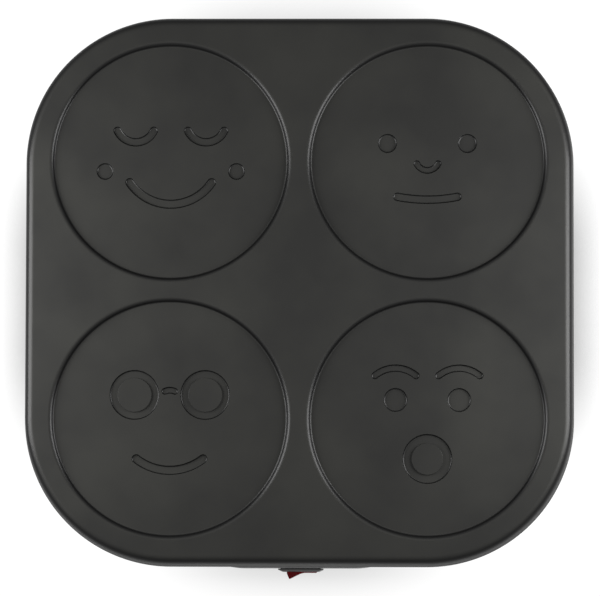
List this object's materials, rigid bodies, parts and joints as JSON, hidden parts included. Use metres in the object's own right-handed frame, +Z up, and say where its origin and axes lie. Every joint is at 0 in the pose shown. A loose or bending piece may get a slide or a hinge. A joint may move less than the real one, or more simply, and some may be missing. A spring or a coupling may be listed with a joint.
{
  "type": "crepe maker",
  "caption": "Square countertop crepe maker: non-stick plate with round shallow wells holding simple sunk faces, on a black base with a red rocker switch.",
  "frame": {"origin": "on the table, under the middle of the square cooking plate: the middle of its four corner arcs, at the underside of the feet", "axes": "+Z up; -Y to the front, where the rocker switch is; +X to the right as seen from the front"},
  "size_m": [0.2516, 0.2578, 0.072],
  "materials": {
    "coated_plate": "satin charcoal non-stick coating on cast aluminium",
    "housing_plastic": "fine matt moulded black",
    "cover_plastic": "matt moulded black",
    "switch_plastic": "smooth black",
    "red_lens": "smooth translucent red",
    "lamp_glass": "clear",
    "rubber": "matt",
    "screw_steel": "plated",
    "sheet_steel": "zinc-plated sheet",
    "element_sheath": "darkened sheath",
    "ceramic": "unglazed",
    "thermostat_metal": "plain",
    "brass": "plain",
    "nylon": "natural nylon",
    "fuse_sleeve": "braided sleeve",
    "white_sleeve": "braided sleeve",
    "black_sleeve": "braided sleeve",
    "earth_sleeve": "plain sleeve"
  },
  "bodies": {
    "root": {"base_housing": "housing_plastic", "block_screw_earth": "screw_steel", "block_screw_live": "screw_steel", "block_screw_neutral": "screw_steel", "bottom_cover": "cover_plastic", "clamp_screw_left": "screw_steel", "clamp_screw_right": "screw_steel", "clip_screw_front": "screw_steel", "clip_screw_left": "screw_steel", "clip_screw_right": "screw_steel", "cooking_plate": "coated_plate", "cord_clamp": "nylon", "cord_gland": "rubber", "cover_screw_back_left": "screw_steel", "cover_screw_back_right": "screw_steel", "cover_screw_front_left": "screw_steel", "cover_screw_front_right": "screw_steel", "earth_lead": "earth_sleeve", "earth_screw": "screw_steel", "earth_tag": "brass", "element_bead_left": "ceramic", "element_bead_right": "ceramic", "element_clip_front": "sheet_steel", "element_clip_left": "sheet_steel", "element_clip_right": "sheet_steel", "foot_back_left": "rubber", "foot_back_right": "rubber", "foot_front_left": "rubber", "foot_front_right": "rubber", "fuse_clip": "sheet_steel", "fuse_clip_screw": "screw_steel", "fuse_lead": "white_sleeve", "heat_shield": "sheet_steel", "heating_element": "element_sheath", "lamp_lead": "black_sleeve", "live_lead": "black_sleeve", "neutral_lead": "white_sleeve", "plate_screw_back": "screw_steel", "plate_screw_front": "screw_steel", "plate_screw_left": "screw_steel", "plate_screw_right": "screw_steel", "strap_screw_left": "screw_steel", "strap_screw_right": "screw_steel", "switch_body": "switch_plastic", "switch_lamp_terminal": "brass", "switch_load_terminal": "brass", "switch_pivot_terminal": "brass", "switched_lead": "white_sleeve", "terminal_block": "nylon", "thermal_fuse": "fuse_sleeve", "thermostat": "thermostat_metal", "thermostat_lead": "white_sleeve", "thermostat_strap": "sheet_steel"},
    "rocker": {"switch_rocker": "red_lens", "switch_plunger": "brass", "switch_spring": "screw_steel", "switch_lamp": "lamp_glass"},
    "contact": {"switch_contact": "brass"}
  },
  "joints": [
    {"name": "rocker_tilt", "type": "hinge", "parent": "root", "child": "rocker", "pos_m": [0.0005, -0.126, 0.03165], "axis": [0, 0, 1], "range_deg": [-26, 0]},
    {"name": "contact_tilt", "type": "hinge", "parent": "root", "child": "contact", "pos_m": [0.0005, -0.1182, 0.03165], "axis": [0, 0, 1], "range_deg": [0, 16]}
  ],
  "couplings": [
    {"joint": "contact_tilt", "follows": "rocker_tilt", "ratio": -0.61538}
  ]
}
